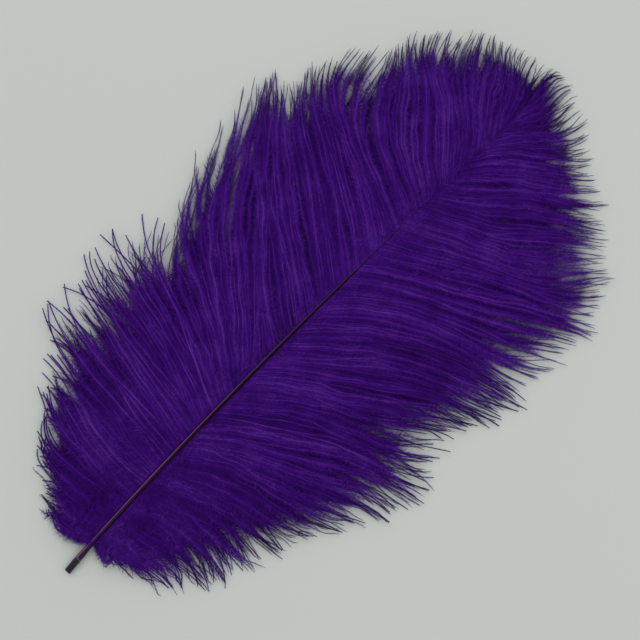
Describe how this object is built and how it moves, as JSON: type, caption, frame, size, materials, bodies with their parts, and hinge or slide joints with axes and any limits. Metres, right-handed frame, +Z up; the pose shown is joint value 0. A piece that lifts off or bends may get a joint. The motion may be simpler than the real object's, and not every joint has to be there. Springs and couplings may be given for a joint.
{
  "type": "ostrich feather",
  "caption": "Loose dyed ostrich plume lying flat, with a bare cut quill, a slender shaft and two broad soft vanes of curling barbs in pointed locks.",
  "frame": {"origin": "on the surface that the plume lies on, under the middle of its box", "axes": "+X along the shaft from the cut quill to the tip, +Y to the left vane, +Z up from the surface"},
  "size_m": [0.4028, 0.2432, 0.0221],
  "materials": {
    "quill": "dyed horn, plum to charcoal, smooth with a soft shine",
    "barbs": "dyed violet down, matte with a faint sheen"
  },
  "bodies": {
    "root": {"shaft": "quill", "left_vane": "barbs", "right_vane": "barbs"}
  },
  "joints": []
}
